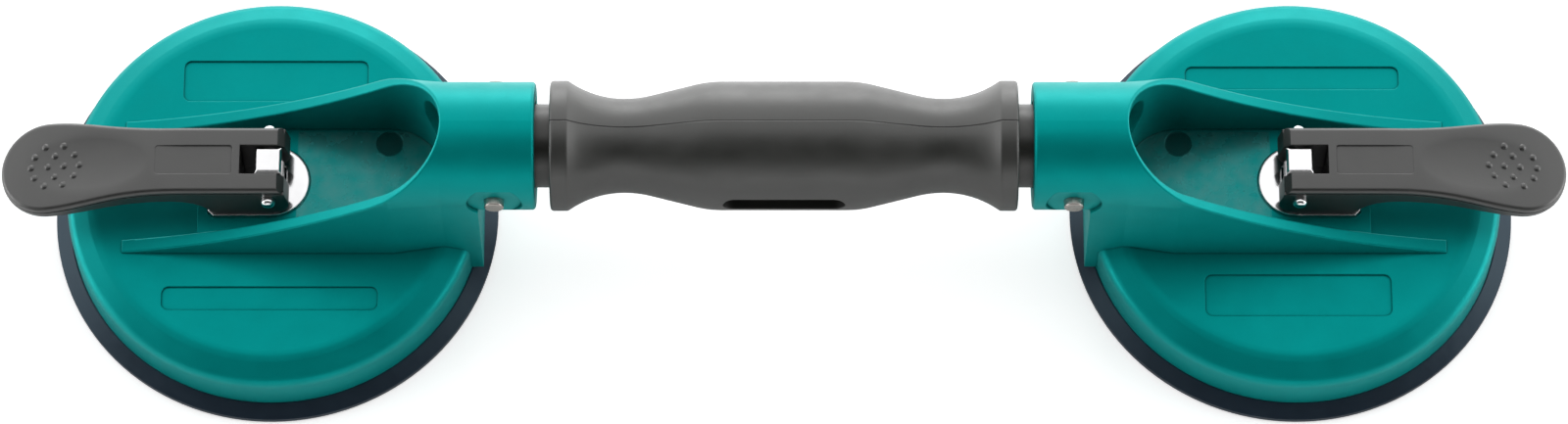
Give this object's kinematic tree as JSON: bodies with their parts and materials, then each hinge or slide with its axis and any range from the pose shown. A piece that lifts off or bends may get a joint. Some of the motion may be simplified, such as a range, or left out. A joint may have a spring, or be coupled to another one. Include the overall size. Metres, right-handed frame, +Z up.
{
  "type": "suction lifter",
  "caption": "Hand-held suction lifter for raised floor tiles and other smooth panels: round rubber-pad heads with cam levers on a shared hand grip.",
  "frame": {"origin": "on the ground under the middle of the grip, with both pads flat on it", "axes": "+X along the grip, +Y across it, +Z up, away from the panel that the pads stick to"},
  "size_m": [0.4194, 0.12, 0.0659],
  "materials": {
    "housing_plastic": "teal moulded plastic, satin",
    "pad_rubber": "smooth black rubber",
    "plated_steel": "bright plated steel",
    "pin_steel": "dull turned steel",
    "zinc_steel": "zinc-plated pressed steel",
    "lever_plastic": "dark grey moulded plastic, satin",
    "plug_plastic": "black moulded plastic",
    "tube_coated": "dark coated aluminium tube"
  },
  "bodies": {
    "handle": {"grip_tube": "tube_coated", "hand_grip": "lever_plastic", "left_tube_plug": "plug_plastic", "right_tube_plug": "plug_plastic"},
    "left_head": {"left_housing": "housing_plastic", "left_suction_pad": "pad_rubber", "left_wear_plate": "plated_steel", "left_swivel_pin": "pin_steel"},
    "left_plunger": {"left_pull_post": "plated_steel", "left_backing_plate": "zinc_steel", "left_lever_pin": "plated_steel"},
    "left_lever": {"left_cam_lever": "lever_plastic"},
    "right_head": {"right_housing": "housing_plastic", "right_suction_pad": "pad_rubber", "right_wear_plate": "plated_steel", "right_swivel_pin": "pin_steel"},
    "right_plunger": {"right_pull_post": "plated_steel", "right_backing_plate": "zinc_steel", "right_lever_pin": "plated_steel"},
    "right_lever": {"right_cam_lever": "lever_plastic"}
  },
  "joints": [
    {"name": "left_head_tilt", "type": "hinge", "parent": "handle", "child": "left_head", "pos_m": [-0.0767, 0, 0.0486], "axis": [0, 1, 0], "range_deg": [-10, 10]},
    {"name": "left_pad_pull", "type": "slide", "parent": "left_head", "child": "left_plunger", "axis": [0, 0, -1], "range_m": [0, 0.005], "deforming": ["left_suction_pad"]},
    {"name": "left_lever_turn", "type": "hinge", "parent": "left_plunger", "child": "left_lever", "pos_m": [-0.1377, 0, 0.03428], "axis": [0, 1, 0], "range_deg": [0, 100]},
    {"name": "right_head_tilt", "type": "hinge", "parent": "handle", "child": "right_head", "pos_m": [0.0767, 0, 0.0486], "axis": [0, -1, 0], "range_deg": [-10, 10]},
    {"name": "right_pad_pull", "type": "slide", "parent": "right_head", "child": "right_plunger", "axis": [0, 0, -1], "range_m": [0, 0.005], "deforming": ["right_suction_pad"]},
    {"name": "right_lever_turn", "type": "hinge", "parent": "right_plunger", "child": "right_lever", "pos_m": [0.1377, 0, 0.03428], "axis": [0, -1, 0], "range_deg": [0, 100]}
  ],
  "couplings": [
    {"joint": "left_pad_pull", "follows": "left_lever_turn", "m_per_rad": 0.0028648},
    {"joint": "right_pad_pull", "follows": "right_lever_turn", "m_per_rad": 0.0028648}
  ]
}
